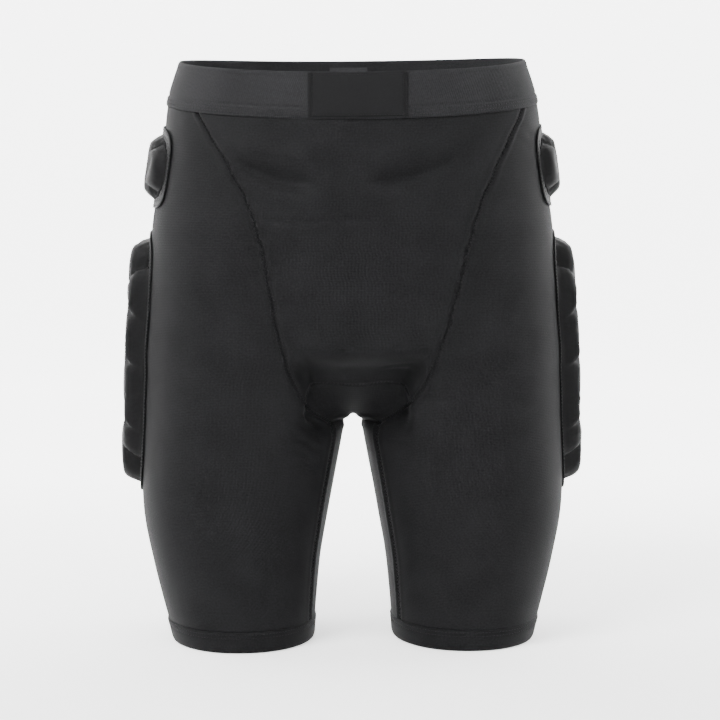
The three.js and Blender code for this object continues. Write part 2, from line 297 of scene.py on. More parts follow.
def grid_normals(points, outward, closed=False):
    """Normals of a displaced grid, turned to the side of the given directions."""
    if closed:
        wide = np.concatenate([points[:, -2:-1], points, points[:, 1:2]], axis=1)
        du = (wide[:, 2:] - wide[:, :-2])
    else:
        du = np.gradient(points, axis=1)
    dv = np.gradient(points, axis=0)
    normals = unit(np.cross(du, dv))
    sign = np.sign(np.sum(normals * outward, axis=-1, keepdims=True))
    return normals * np.where(sign == 0, 1, sign)


def mesh_object(name, vertices, faces, uvs=None):
    mesh = bpy.data.meshes.new(name)
    mesh.from_pydata([tuple(v) for v in vertices], [], faces)
    if uvs is not None:
        layer = mesh.uv_layers.new(name="cloth")
        corners = np.empty(len(mesh.loops), np.int32)
        mesh.loops.foreach_get("vertex_index", corners)
        layer.data.foreach_set("uv", np.asarray(uvs, float)[corners].ravel())
    mesh.validate()
    mesh.shade_smooth()
    piece = bpy.data.objects.new(name, mesh)
    bpy.context.scene.collection.objects.link(piece)
    return piece


def to_frame(points):
    return points * MM + np.array([0, SHIFT, 0])


def quads(columns, rows, start=0, flip=False):
    """Faces of a grid of vertices stored row by row."""
    i, j = np.meshgrid(np.arange(columns - 1), np.arange(rows - 1))
    a = (start + j * columns + i).ravel()
    faces = np.stack([a, a + 1, a + columns + 1, a + columns], axis=-1)
    return faces[:, ::-1] if flip else faces


def sheet_mesh(name, outer, inner, uvs):
    """A closed thin solid between two grids of points."""
    rows, columns, _ = outer.shape
    count = rows * columns
    side = outer[0, 1] - outer[0, 0]
    up = outer[1, 0] - outer[0, 0]
    flip = bool(np.dot(np.cross(side, up), outer[0, 0] - inner[0, 0]) < 0)
    index = np.arange(count).reshape(rows, columns)
    rim = np.concatenate([index[0, :-1], index[:-1, -1], index[-1, :0:-1], index[:0:-1, 0]])
    follow = np.roll(rim, -1)
    walls = np.stack([rim, rim + count, follow + count, follow], axis=-1)
    if flip:
        walls = walls[:, ::-1]
    faces = np.concatenate([quads(columns, rows, 0, flip), quads(columns, rows, count, not flip), walls])
    points = to_frame(np.concatenate([outer.reshape(-1, 3), inner.reshape(-1, 3)]))
    both = np.concatenate([uvs.reshape(-1, 2), uvs.reshape(-1, 2)])
    return mesh_object(name, points, faces.tolist(), both)


def band_mesh(name, outer, inner, uvs):
    """A closed ring between two grids whose last column repeats the first."""
    rows, columns, _ = outer.shape
    ring = columns - 1
    count = rows * ring
    side = outer[0, 1] - outer[0, 0]
    up = outer[1, 0] - outer[0, 0]
    flip = bool(np.dot(np.cross(side, up), outer[0, 0] - inner[0, 0]) < 0)
    index = np.arange(count).reshape(rows, ring)
    after = np.roll(index, -1, axis=1)
    skin = np.stack([index[:-1], after[:-1], after[1:], index[1:]], axis=-1).reshape(-1, 4)
    low = np.stack([index[0], index[0] + count, after[0] + count, after[0]], axis=-1)
    high = np.stack([index[-1], after[-1], after[-1] + count, index[-1] + count], axis=-1)
    faces = np.concatenate([skin, skin[:, ::-1] + count, low, high])
    if flip:
        faces = faces[:, ::-1]
    points = to_frame(np.concatenate([outer[:, :-1].reshape(-1, 3), inner[:, :-1].reshape(-1, 3)]))
    both = np.concatenate([uvs[:, :-1].reshape(-1, 2)] * 2)
    return mesh_object(name, points, faces.tolist(), both)


def finish_piece(piece, material, nodes=()):
    piece.data.materials.append(material)
    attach(piece, BODY)
    if nodes:
        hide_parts(*nodes)
    return piece


# ---------- relief of the cloth ----------


def stroke(x, z, start, end, width, depth, bow=0.0):
    """A soft crease drawn on the front between two points, fading at its ends."""
    start, end = np.array(start, float), np.array(end, float)
    run = end - start
    length = np.linalg.norm(run)
    along = ((x - start[0]) * run[0] + (z - start[1]) * run[1]) / length ** 2
    across = ((z - start[1]) * run[0] - (x - start[0]) * run[1]) / length
    inside = np.clip(along, 0, 1)
    across = across - bow * 4 * inside * (1 - inside)
    beyond = np.maximum(np.abs(along - 0.5) - 0.25, 0) * length
    return -depth * np.exp(-(across / width) ** 2 - (beyond / (0.22 * length)) ** 2)


FRONT_CREASES = [
    # start, end, width, depth, bow
    ((-98, 397), (-34, 376), 7, 6.0, -4),
    ((-95, 410), (-26, 395), 9, -3.0, -4),
    ((6, 378), (76, 397), 7, 4.8, -4),
    ((0, 397), (72, 412), 9, -2.5, -4),
    ((-74, 348), (10, 350), 2.5, 1.0, 0),
    ((-45, 196), (-24, 178), 2.4, 2.0, 2),
    ((-50, 188), (-26, 168), 2.2, 2.1, 2),
    ((-52, 178), (-29, 158), 2.4, 2.0, 2),
    ((-52, 167), (-31, 149), 2.4, 1.7, 2),
    ((-50, 156), (-33, 141), 2.4, 1.3, 2),
    ((20, 222), (52, 232), 3.0, 1.0, 2),
    ((14, 212), (48, 220), 2.5, 0.9, 2),
    ((12, 204), (44, 206), 2.2, 0.8, 1),
    ((40, 203), (78, 205), 3.0, 0.6, 2),
    ((128, 428), (146, 418), 3.0, 0.7, 1),
    ((126, 420), (143, 408), 3.0, 0.5, 1),
]


def ripple(x, y, z):
    """Slow unevenness of cloth on a body, a few tenths of a millimetre high."""
    slow = np.sin(x / 31 + 1.3 * np.sin(z / 47 + 0.6)) * np.sin(z / 38 + 1.1 * np.sin(y / 41))
    quick = np.sin(x / 11.3 + z / 17 + 2.1 * np.sin(y / 23)) * np.sin(z / 13.1 - y / 19)
    return 0.28 * slow + 0.07 * quick


def smooth_step(t):
    t = np.clip(t, 0, 1)
    return t * t * (3 - 2 * t)


GROIN_TOP = 250  # where the front panel starts to turn under
GROIN_DEPTH = 28


def groin_relief(x, z):
    """The front panel swells over the groin and turns under sharply between the seams."""
    inside = smooth_step((seam_x(np.sign(x), -1, np.maximum(z, CREASE_HEIGHT)) - np.abs(x)) / 16)
    hollow = smooth_step((GROIN_TOP - z) / 43) * smooth_step((z - 168) / 32)
    swell = np.exp(-((z - 258) / 24) ** 2 - (x / 40) ** 2)
    return inside * (3.0 * swell - GROIN_DEPTH * hollow)

def cloth_relief(points):
    x, y, z = points[..., 0], points[..., 1], points[..., 2]
    front = 1 / (1 + np.exp(np.clip(y + 12, -200, 200) / 4))
    facing = np.clip(-body_normal(points)[..., 1], 0, 1)
    relief = ripple(x, y, z) + front * facing * groin_relief(x, z)
    for start, end, width, depth, bow in FRONT_CREASES:
        relief = relief + front * stroke(x, z, start, end, width, depth, bow)
    return relief


def seam_relief(distance, along):
    """Groove, welt and puckers beside a flatlock seam, by distance from it."""
    groove = -1.4 * np.exp(-(distance / 2.3) ** 2)
    welt = 0.6 * np.exp(-((distance - 5.0) / 2.0) ** 2)
    wave = np.sin(2 * math.pi * along / 6.3 + 1.7 * np.sin(along / 11)) * (0.6 + 0.4 * np.sin(along / 17 + 1))
    pucker = 0.32 * wave * np.exp(-(distance / 8.5) ** 2)
    return groove + welt + pucker


def panel(name, points, seams, material, node):
    """A shell panel from its grid; seams names the edges (left, right, low, high) that are sewn."""
    across = lengths_along(points, 1)
    up = lengths_along(points, 0)
    relief = cloth_relief(points)
    edges = {
        "left": (across, up),
        "right": (across[:, -1:] - across, up),
        "low": (up, across),
        "high": (up[-1:] - up, across),
    }
    for edge in seams:
        relief = relief + seam_relief(*edges[edge])
    outward = body_normal(points)
    outer = points + outward * relief[..., None]
    inner = outer - grid_normals(outer, outward) * KNIT
    middle = across[:, -1:] / 2
    uvs = np.stack([across - middle, points[..., 2]], axis=-1) * MM
    piece = sheet_mesh(name, outer, inner, uvs)
    finish_piece(piece, material, [node])
    declare_sheet(points)


def declare_sheet(points):
    across = lengths_along(points, 1)[:, -1]
    up = lengths_along(points, 0)[-1]
    du = np.linalg.norm(np.diff(points, axis=1), axis=-1)[:-1]
    dv = np.linalg.norm(np.diff(points, axis=0), axis=-1)[:, :-1]


def steps(low, high, spacing):
    return np.linspace(low, high, max(int(round((high - low) / spacing)), 2) + 1)


# ---------- shell ----------

LAP = 0.3  # how far each panel reaches over a seam line
TUCK = 0.8  # how far the panels reach into the waistband and the hems


def leg_panel_grid(side):
    levels = steps(HEM_HEIGHT - TUCK, WAISTBAND_BOTTOM + TUCK, GRID)[:, None]
    turn = np.linspace(0, 1, 165)[None, :]
    front = seam_angle(side, -1, levels) - LAP / LEG_RADIUS
    back = seam_angle(side, 1, levels) + LAP / LEG_RADIUS
    return side_point(side, front + (back - front) * turn, levels)


def centre_panel_grid(facing):
    levels = steps(CREASE_HEIGHT - LAP, WAISTBAND_BOTTOM + TUCK, GRID)[:, None]
    turn = np.linspace(0, 1, 100)[None, :]
    low = -seam_x(-1, facing, levels) - LAP
    high = seam_x(1, facing, levels) + LAP
    return face_point(facing, low + (high - low) * turn, levels)


def inner_panel_grid(side):
    levels = steps(HEM_HEIGHT - TUCK, INNER_SEAM_TOP + LAP, GRID)[:, None]
    half = INNER_PANEL_ANGLE + LAP / LEG_RADIUS
    return side_point(side, math.pi + np.linspace(-half, half, 36)[None, :], levels)


def gusset_grid():
    """Rows run from leg to leg over the crotch, on fans of rays from the air between the legs."""
    rise = steps(INNER_SEAM_TOP, CREASE_HEIGHT, GRID)
    half = INNER_PANEL_ANGLE
    span = math.pi + np.linspace(half, -half, 34)
    inner = side_point(1, span, INNER_SEAM_TOP)
    front = face_point(-1, SEAM_X(rise), rise)
    back = face_point(1, SEAM_X(rise), rise)
    edge = np.concatenate([front[::-1], inner[1:-1], back])
    v = np.linspace(0, 1, len(edge))[:, None]
    lean = (v - 0.5) * math.pi
    turn = np.linspace(0, 1, 49)[None, :] * math.pi
    direction = np.stack([
        np.cos(turn) * np.ones_like(lean),
        -np.sin(turn) * np.sin(lean),
        np.sin(turn) * np.cos(lean),
    ], axis=-1)
    origin = np.stack([np.zeros(len(edge)), edge[:, 1], edge[:, 2]], axis=-1)[:, None, :]
    return crossing(lambda r: origin + direction * r[..., None], direction.shape[:2], stride=1.5)


def build_shell(knit):
    panel("front_panel_cloth", centre_panel_grid(-1), ("left", "right"), knit, "front_panel")
    panel("seat_panel_cloth", centre_panel_grid(1), ("left", "right"), knit, "seat_panel")
    panel("crotch_gusset_cloth", gusset_grid(), ("left", "right"), knit, "crotch_gusset")
    for word, side in (("left", 1), ("right", -1)):
        panel(f"{word}_leg_cloth", leg_panel_grid(side), ("left", "right"), knit, f"{word}_leg_panel")
        panel(f"{word}_inner_thigh_cloth", inner_panel_grid(side), ("left", "right", "high"), knit,
              f"{word}_inner_thigh_panel")


# ---------- bands ----------

HEM_STITCH_ROWS = (12.2, 15.2)
WAIST_RIDGES = (1.6, 4.2, 6.8)
WAIST_GROOVE = 8.8


def build_band(name, points, relief, thickness, material, node):
    """A ring of doubled cloth or elastic; relief is its height above the middle of the band."""
    outward = body_normal(points)
    outward[..., 2] = 0
    outward = unit(outward)
    outer = points + outward * (thickness / 2 + relief)[..., None]
    inner = points - outward * (thickness / 2 + relief * 0.4)[..., None]
    across = lengths_along(points, 1)
    uvs = np.stack([across, points[..., 2]], axis=-1) * MM
    piece = band_mesh(name, outer, inner, uvs)
    finish_piece(piece, material, [node])
    declare_sheet(points)


def rounded_edges(up, height, radius):
    """Pulls a band in towards its edges, so that they look folded instead of cut."""
    edge = np.minimum(up, height - up)
    return -0.5 * np.exp(-(edge / radius) ** 2)


def waistband_grid():
    angles = np.linspace(-math.pi, math.pi, 391)[None, :]
    fractions = np.linspace(0, 1, 37)[:, None]
    return waist_point(angles, WAISTBAND_BOTTOM + (WAISTBAND_TOP - WAISTBAND_BOTTOM) * fractions)


def build_waistband(elastic):
    points = waistband_grid()
    height = WAISTBAND_TOP - WAISTBAND_BOTTOM
    up = np.linspace(0, height, points.shape[0])[:, None] * np.ones(points.shape[:2])
    across = lengths_along(points, 1)
    relief = rounded_edges(up, height, 1.0)
    for ridge in WAIST_RIDGES:
        relief = relief + 0.55 * np.exp(-((up - ridge) / 0.8) ** 2)
    relief = relief - 0.6 * np.exp(-((up - WAIST_GROOVE) / 0.8) ** 2)
    relief = relief + 0.25 * np.exp(-((height - up - 2.0) / 1.0) ** 2)
    relief = relief + 0.12 * np.sin(across / 9 + np.sin(across / 37)) * np.exp(-(up / 6) ** 2)
    build_band("waistband_elastic", points, relief, BAND, elastic, "waistband")


def hem_grid(side):
    angles = np.linspace(-math.pi, math.pi, 181)[None, :]
    return side_point(side, angles, np.linspace(0, HEM_HEIGHT, 15)[:, None])


def build_hem(word, side, knit):
    points = hem_grid(side)
    up = points[..., 2]
    across = lengths_along(points, 1)
    relief = rounded_edges(up, HEM_HEIGHT, 1.1)
    for row in HEM_STITCH_ROWS:
        relief = relief - 0.35 * np.exp(-((up - row) / 0.8) ** 2)
    relief = relief + 0.15 * np.sin(across / 3.1 + np.sin(across / 19)) * np.exp(-((up - 14) / 3) ** 2)
    build_band(f"{word}_hem_band", points, relief, BAND, knit, f"{word}_hem")


# ---------- pads ----------

PAD_STITCH_ROWS = (1.8, 5.4)  # distances of the stitch lines from the edge of a pad
CELL_DEPTH = 3.4
GROOVE_WIDTH = 3.1
CORNER_BLEND = 26  # rounds the corners of the filled part
FOAM_INSET = FLANGE + SKIRT + 3  # from the edge of a pad to its foam
FOAM_SHRINK = 0.9  # the blocks sit loosely inside the filled cover
FLANGE_HEIGHT = 1.7  # outer face of the stitched edge above the shell
PAD_PRESSURE = 9.0
PAD_TRAVEL = 2.4  # the farthest that filling may move a point
PAD_FRAMES = 18


def rounded_square(u, v, corner):
    reach = np.maximum(np.maximum(np.abs(u), np.abs(v)), 1e-9)
    stretch = np.abs(u / reach) ** corner + np.abs(v / reach) ** corner
    shrink = np.maximum(stretch, 1) ** (-1 / corner)
    return u * shrink, v * shrink


def side_layout(side, level, shift, radius, lean=0.0):
    """Millimetres round the body (s, towards the back) and up (t), to a point of the surface."""
    return lambda s, t: side_point(side, (shift + s - lean * t / 100) / radius, level + t)


def back_layout(level):
    return lambda s, t: face_point(1, s, level + t)


HIP_PAD = {
    "width": 92, "height": 67, "corner": 5, "foam": THIN_FOAM,
    "row_edges": (0, 1), "columns": 1, "chevron": 0,
}
THIGH_PAD = {
    "width": 126, "height": 221, "corner": 5, "foam": THICK_FOAM,
    "row_edges": (0, 0.31, 0.6, 0.82, 1), "columns": 2, "chevron": 36,
}
TAILBONE_PAD = {
    "width": 116, "height": 150, "corner": 4, "foam": THICK_FOAM,
    "row_edges": (0, 0.36, 0.7, 1), "columns": 2, "chevron": 28,
}


def valley(distance, width):
    return np.exp(-(distance / width) ** 2)


def cell_grooves(s, t, pad):
    """How deep in a groove each point (s, t) of a pad lies, from 0 to 1."""
    half_width = pad["width"] / 2 - FOAM_INSET
    half_height = pad["height"] / 2 - FOAM_INSET
    depth = np.zeros(s.shape)
    slope = pad["chevron"] / half_width
    for edge in pad["row_edges"][1:-1]:
        line = (2 * edge - 1) * half_height - pad["chevron"] * (np.abs(s) / half_width - 0.5)
        distance = (t - line) / math.sqrt(1 + slope ** 2)
        depth = np.maximum(depth, valley(distance, GROOVE_WIDTH))
    if pad["columns"] > 1:
        depth = np.maximum(depth, valley(s, GROOVE_WIDTH))
    return depth


def pad_cover_start(pad, layout):
    """Grid, cell depth and border distance of a pad cover before it is filled."""
    u = np.linspace(-1, 1, int(pad["width"] / PAD_GRID))[None, :]
    v = np.linspace(-1, 1, int(pad["height"] / PAD_GRID))[:, None]
    s, t = rounded_square(u, v, pad["corner"])
    s = s * pad["width"] / 2
    t = t * pad["height"] / 2
    points = layout(s, t)
    from_side = (1 - np.abs(u)) * pad["width"] / 2
    from_end = (1 - np.abs(v)) * pad["height"] / 2
    border = np.maximum(smooth_min(from_side, from_end, CORNER_BLEND), 0)
    grooves = cell_grooves(s, t, pad)
    rise = np.clip((border - FLANGE) / (SKIRT * 1.3), 0, 1)
    rise = np.sin(rise * math.pi / 2) ** 0.8
    top = FOAM_BOTTOM + pad["foam"] + COVER_EASE + COVER
    height = FLANGE_HEIGHT + rise * (top - FLANGE_HEIGHT)
    height = height - CELL_DEPTH * grooves * rise
    for row in PAD_STITCH_ROWS:
        height = height - 0.45 * valley(border - row, 0.9)
    return points, height, grooves, border


def cloth_settings(cloth, pressure):
    """A light stretch cloth, held by its pins and blown out by pressure, without weight."""
    modifier = cloth.modifiers.new("Cloth", "CLOTH")
    modifier.point_cache.frame_start = 1
    modifier.point_cache.frame_end = PAD_FRAMES + 2
    settings = modifier.settings
    settings.vertex_group_mass = "held"
    settings.quality = 5
    settings.mass = 0.3
    settings.tension_stiffness = 12
    settings.compression_stiffness = 12
    settings.shear_stiffness = 6
    settings.bending_stiffness = 0.4
    settings.shrink_min = -0.035
    settings.use_pressure = True
    settings.uniform_pressure_force = pressure
    settings.effector_weights.gravity = 0


def run_cloth(cloth):
    """The points of a cloth after its simulation; the cloth itself is removed."""
    scene = bpy.context.scene
    for number in range(1, PAD_FRAMES + 1):
        scene.frame_set(number)
    solved = cloth.evaluated_get(bpy.context.evaluated_depsgraph_get())
    moved = np.empty(len(cloth.data.vertices) * 3)
    solved.data.vertices.foreach_get("co", moved)
    scene.frame_set(1)
    mesh = cloth.data
    bpy.data.objects.remove(cloth)
    bpy.data.meshes.remove(mesh)
    return moved


def fill_cover(name, start, outward, held):
    """Blows a cover out between its held lines, and returns its new points."""
    rows, columns, _ = start.shape
    cloth = mesh_object(name + "_sim", start.reshape(-1, 3) * MM, quads(columns, rows).tolist())
    pins = cloth.vertex_groups.new(name="held")
    for index, weight in enumerate(held.ravel()):
        if weight > 0.02:
            pins.add([index], float(weight), "REPLACE")
    facing = np.cross(start[0, 1] - start[0, 0], start[1, 0] - start[0, 0])
    cloth_settings(cloth, float(PAD_PRESSURE * np.sign(np.sum(facing * outward[0, 0]))))
    travel = run_cloth(cloth).reshape(rows, columns, 3) / MM - start
    far = np.linalg.norm(travel, axis=-1, keepdims=True)
    return start + travel * np.minimum(1, PAD_TRAVEL / np.maximum(far, 1e-6))


def build_pad(name, pad, layout, cover_material, backing_material, foam_material):
    points, height, grooves, border = pad_cover_start(pad, layout)
    outward = body_normal(points)
    outer = points + outward * height[..., None]
    held_edge = np.clip(1.6 - border / FLANGE, 0, 1)
    held_groove = np.clip(grooves * 1.5 - 0.55, 0, 1)
    outer = fill_cover(name, outer, outward, np.maximum(held_edge, held_groove))
    inner = outer - grid_normals(outer, outward) * COVER * 0.8
    across = lengths_along(points, 1)
    uvs = np.stack([across - across[:, -1:] / 2, lengths_along(points, 0)], axis=-1) * MM
    cover = sheet_mesh(f"{name}_cover_cloth", outer, inner, uvs)
    finish_piece(cover, cover_material, [f"{name}_cover"])
    build_backing(name, pad, layout, backing_material)
    build_foam(name, foam_material)


def build_backing(name, pad, layout, material):
    u = np.linspace(-1, 1, int(pad["width"] / 6))[None, :]
    v = np.linspace(-1, 1, int(pad["height"] / 6))[:, None]
    s, t = rounded_square(u, v, pad["corner"])
    points = layout(s * (pad["width"] / 2 - FLANGE - 1), t * (pad["height"] / 2 - FLANGE - 1))
    outward = body_normal(points)
    outer = points + outward * (LAYER_GAP + BACKING)
    inner = points + outward * LAYER_GAP
    uvs = np.stack([s * pad["width"] / 2, t * pad["height"] / 2], axis=-1) * MM
    piece = sheet_mesh(f"{name}_backing_cloth", outer, inner, uvs)
    finish_piece(piece, material, [f"{name}_backing"])
    declare_sheet(points)


def foam_nodes(name):
    return sorted(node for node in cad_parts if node.startswith(f"{name}_foam"))


def shrink_about_middle(mesh, factor):
    spots = np.empty(len(mesh.vertices) * 3)
    mesh.vertices.foreach_get("co", spots)
    spots = spots.reshape(-1, 3)
    middle = spots.mean(axis=0)
    mesh.vertices.foreach_set("co", (middle + (spots - middle) * factor).ravel())


def build_foam(name, material):
    """Rounds off each packed foam block."""
    for node in foam_nodes(name):
        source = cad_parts[node]
        block = bpy.data.objects.new(f"{node}_block", source.data.copy())
        block.data.materials.clear()
        shrink_about_middle(block.data, FOAM_SHRINK)
        bpy.context.scene.collection.objects.link(block)
        smoothing = block.modifiers.new("Rounding", "SUBSURF")
        smoothing.levels = smoothing.render_levels = 2
        block.data.shade_smooth()
        finish_piece(block, material, [node])


def pad_places():
    """Every pad's name, sizes and layout on the body."""
    places = [("tailbone_pad", TAILBONE_PAD, back_layout(352))]
    for word, side in (("left", 1), ("right", -1)):
        places.append((f"{word}_hip_pad", HIP_PAD, side_layout(side, 398, -12, 96)))
        places.append((f"{word}_thigh_pad", THIGH_PAD, side_layout(side, 233, 24, 92, lean=6)))
    return places


def build_pads(cover, backing, foam):
    for name, pad, layout in pad_places():
        build_pad(name, pad, layout, cover, backing, foam)


# ---------- threads ----------

THREAD = 0.26  # radius of a thread, in millimetres
SEAM_THREAD_LIFT = -0.75  # seam threads lie in the groove of the seam
STITCH_SIDES = 6
STITCH_RINGS = (
    # place along the stitch, width, lift
    (0.0, 0.35, -0.5),
    (0.18, 0.95, 0.15),
    (0.5, 1.05, 0.45),
    (0.82, 0.95, 0.15),
    (1.0, 0.35, -0.5),
)


def resample(path, normals, pitch):
    """Evenly spaced points along a polyline, with directions along it, across it and out of the cloth."""
    travelled = np.concatenate([[0], np.cumsum(np.linalg.norm(np.diff(path, axis=0), axis=1))])
    places = np.arange(0, travelled[-1], pitch)

    def pick(values):
        return np.stack([np.interp(places, travelled, values[:, k]) for k in range(3)], axis=-1)

    points = pick(path)
    outward = unit(pick(normals))
    along = unit(np.gradient(points, axis=0))
    return points, along, unit(np.cross(outward, along)), outward


def stitch_faces():
    """The faces of one stitch, by numbers of its ring vertices."""
    faces = []
    for ring in range(len(STITCH_RINGS) - 1):
        for side in range(STITCH_SIDES):
            a = ring * STITCH_SIDES + side
            b = ring * STITCH_SIDES + (side + 1) % STITCH_SIDES
            faces.append((a, b, b + STITCH_SIDES, a + STITCH_SIDES))
    last = (len(STITCH_RINGS) - 1) * STITCH_SIDES
    faces.append(tuple(range(STITCH_SIDES))[::-1])
    faces.append(tuple(range(last, last + STITCH_SIDES)))
    return faces


class Threads:
    """Collects stitches, each one a short bowed strand, into one mesh."""

    def __init__(self):
        self.vertices = []
        self.faces = []
        self.uvs = []
        self.count = 0

    def strands(self, starts, ends, outward):
        run = unit(ends - starts)
        across = unit(np.cross(outward, run))
        rise = unit(np.cross(run, across))
        rings = []
        for place, width, lift in STITCH_RINGS:
            centre = starts + (ends - starts) * place + rise * lift * THREAD
            for side in range(STITCH_SIDES):
                turn = 2 * math.pi * side / STITCH_SIDES
                spoke = across * math.cos(turn) + rise * math.sin(turn)
                rings.append(centre + spoke * THREAD * width)
        points = np.stack(rings, axis=1)
        per_stitch = points.shape[1]
        for number in range(len(starts)):
            base = self.count + number * per_stitch
            self.faces.extend([tuple(base + k for k in face) for face in stitch_faces()])
        self.vertices.append(points.reshape(-1, 3))
        length = np.arange(per_stitch) // STITCH_SIDES / 4
        around = np.arange(per_stitch) % STITCH_SIDES / STITCH_SIDES
        self.uvs.append(np.tile(np.stack([length, around], axis=-1) * 2 * MM, (len(starts), 1)))
        self.count += len(starts) * per_stitch

    def row(self, path, normals, offset=0.0, lift=0.0, pitch=3.0, fill=0.8):
        """A straight run of stitches beside a path."""
        points, along, across, outward = resample(path, normals, pitch)
        start = points + across * offset + outward * lift
        self.strands(start, start + along * pitch * fill, outward)

    def zigzag(self, path, normals, half_width, lift=0.0, pitch=1.5):
        """Threads that cross a path from side to side."""
        points, along, across, outward = resample(path, normals, pitch)
        sign = np.where(np.arange(len(points)) % 2 == 0, 1.0, -1.0)[:, None]
        start = points + across * half_width * sign + outward * lift
        end = points - across * half_width * sign + along * pitch + outward * lift
        self.strands(start, end, outward)

    def build(self, name, material):
        points = to_frame(np.concatenate(self.vertices))
        piece = mesh_object(name, points, self.faces, np.concatenate(self.uvs))
        return finish_piece(piece, material)


def seam_paths():
    """The sewn lines of the shell, as points on the body surface."""
    low = steps(HEM_HEIGHT + 0.5, INNER_SEAM_TOP, 3)
    high = steps(INNER_SEAM_TOP, WAISTBAND_BOTTOM - 1, 3)
    lines = []
    for side in (1, -1):
        for facing in (-1, 1):
            inner = side_point(side, facing * (math.pi - INNER_PANEL_ANGLE), low)
            lines.append(np.concatenate([inner, seam_point(side, facing, high[1:])]))
    return lines


def crease_paths():
    lines = []
    for facing in (-1, 1):
        x = np.linspace(-seam_x(-1, facing, CREASE_HEIGHT), seam_x(1, facing, CREASE_HEIGHT), 60)
        lines.append(face_point(facing, x, CREASE_HEIGHT))
    return lines


def sew_shell(material):
    threads = Threads()
    for line in seam_paths():
        outward = body_normal(line)
        line = line + outward * (cloth_relief(line) + SEAM_THREAD_LIFT)[:, None]
        threads.zigzag(line, outward, 1.7)
        threads.row(line, outward, offset=2.1, lift=0.3, pitch=2.6)
        threads.row(line, outward, offset=-2.1, lift=0.3, pitch=2.6)
    for line in crease_paths():
        outward = body_normal(line)
        line = line + outward * cloth_relief(line)[:, None]
        threads.zigzag(line, outward, 1.4)
    threads.build("seam_threads", material)


def sew_hems(material):
    threads = Threads()
    angles = np.linspace(-math.pi, math.pi, 181)
    for side in (1, -1):
        for row in HEM_STITCH_ROWS:
            line = side_point(side, angles, row)
            outward = body_normal(line)
            threads.row(line + outward * (BAND / 2 - 0.2), outward, pitch=3.0)
    threads.build("hem_threads", material)


BADGE_BARTACKS = (-37.4, -35.6, 35.6, 37.4)


def sew_waistband(material):
    threads = Threads()
    angles = np.linspace(-math.pi, math.pi, 391)
    for row in (2.9, 5.5):
        line = waist_point(angles, WAISTBAND_BOTTOM + row)
        outward = body_normal(line)
        threads.row(line + outward * (BAND / 2 + 0.1), outward, pitch=2.8)
    for x in BADGE_BARTACKS:
        line = face_point(-1, x, np.linspace(WAISTBAND_BOTTOM + 1.5, WAISTBAND_TOP - 1.5, 30))
        outward = body_normal(line)
        line = line + outward * (BAND / 2 + 1.2)
        threads.zigzag(line, outward, 0.9, pitch=0.8)
    for level in (WAISTBAND_BOTTOM + 2.6, WAISTBAND_TOP - 2.6):
        line = face_point(-1, np.linspace(-34, 34, 50), level)
        outward = body_normal(line)
        threads.row(line + outward * (BAND / 2 + 1.2), outward, pitch=2.2)
    threads.build("waistband_threads", material)


def pad_outline(pad, layout, inset):
    """The line at a given distance inside the edge of a pad."""
    u_edge = 1 - 2 * inset / pad["width"]
    v_edge = 1 - 2 * inset / pad["height"]
    sweep = np.linspace(-1, 1, 60)
    ones = np.ones_like(sweep)
    u = np.concatenate([sweep * u_edge, ones * u_edge, -sweep * u_edge, -ones * u_edge])
    v = np.concatenate([-ones * v_edge, sweep * v_edge, ones * v_edge, -sweep * v_edge])
    s, t = rounded_square(u, v, pad["corner"])
    return layout(s * pad["width"] / 2, t * pad["height"] / 2)


def sew_pads(material):
    threads = Threads()
    for _, pad, layout in pad_places():
        for inset in PAD_STITCH_ROWS:
            line = pad_outline(pad, layout, inset)
            outward = body_normal(line)
            threads.row(line + outward * (FLANGE_HEIGHT - 0.25), outward, pitch=3.0)
    threads.build("pad_threads", material)


# ---------- labels ----------


def build_label(name, facing, width, low, high, offset, thickness, material, node):
    x = np.linspace(-width / 2, width / 2, 61)[None, :]
    level = np.linspace(low, high, 29)[:, None]
    points = face_point(facing, x, level)
    outward = body_normal(points)
    edge = np.minimum((width / 2 - np.abs(x)) * np.ones_like(level), np.minimum(level - low, high - level))
    relief = -0.35 * np.exp(-(edge / 0.9) ** 2)
    outer = points + outward * (offset + thickness + relief)[..., None]
    inner = points + outward * offset
    uvs = np.stack([x * np.ones_like(level), level * np.ones_like(x)], axis=-1) * MM
    piece = sheet_mesh(name, outer, inner, uvs)
    finish_piece(piece, material, [node])
    declare_sheet(points)


def build_labels(badge, tape):
    build_label(
        "blank_badge", -1, 78, WAISTBAND_BOTTOM + 1, WAISTBAND_TOP - 1,
        BAND / 2 + 0.3, 0.9, badge, "waistband_patch",
    )
    build_label(
        "blank_care_label", 1, 34, WAISTBAND_BOTTOM + 7, WAISTBAND_TOP - 6,
        -BAND / 2 - 0.6, -0.5, tape, "care_label",
    )


# ---------- materials ----------


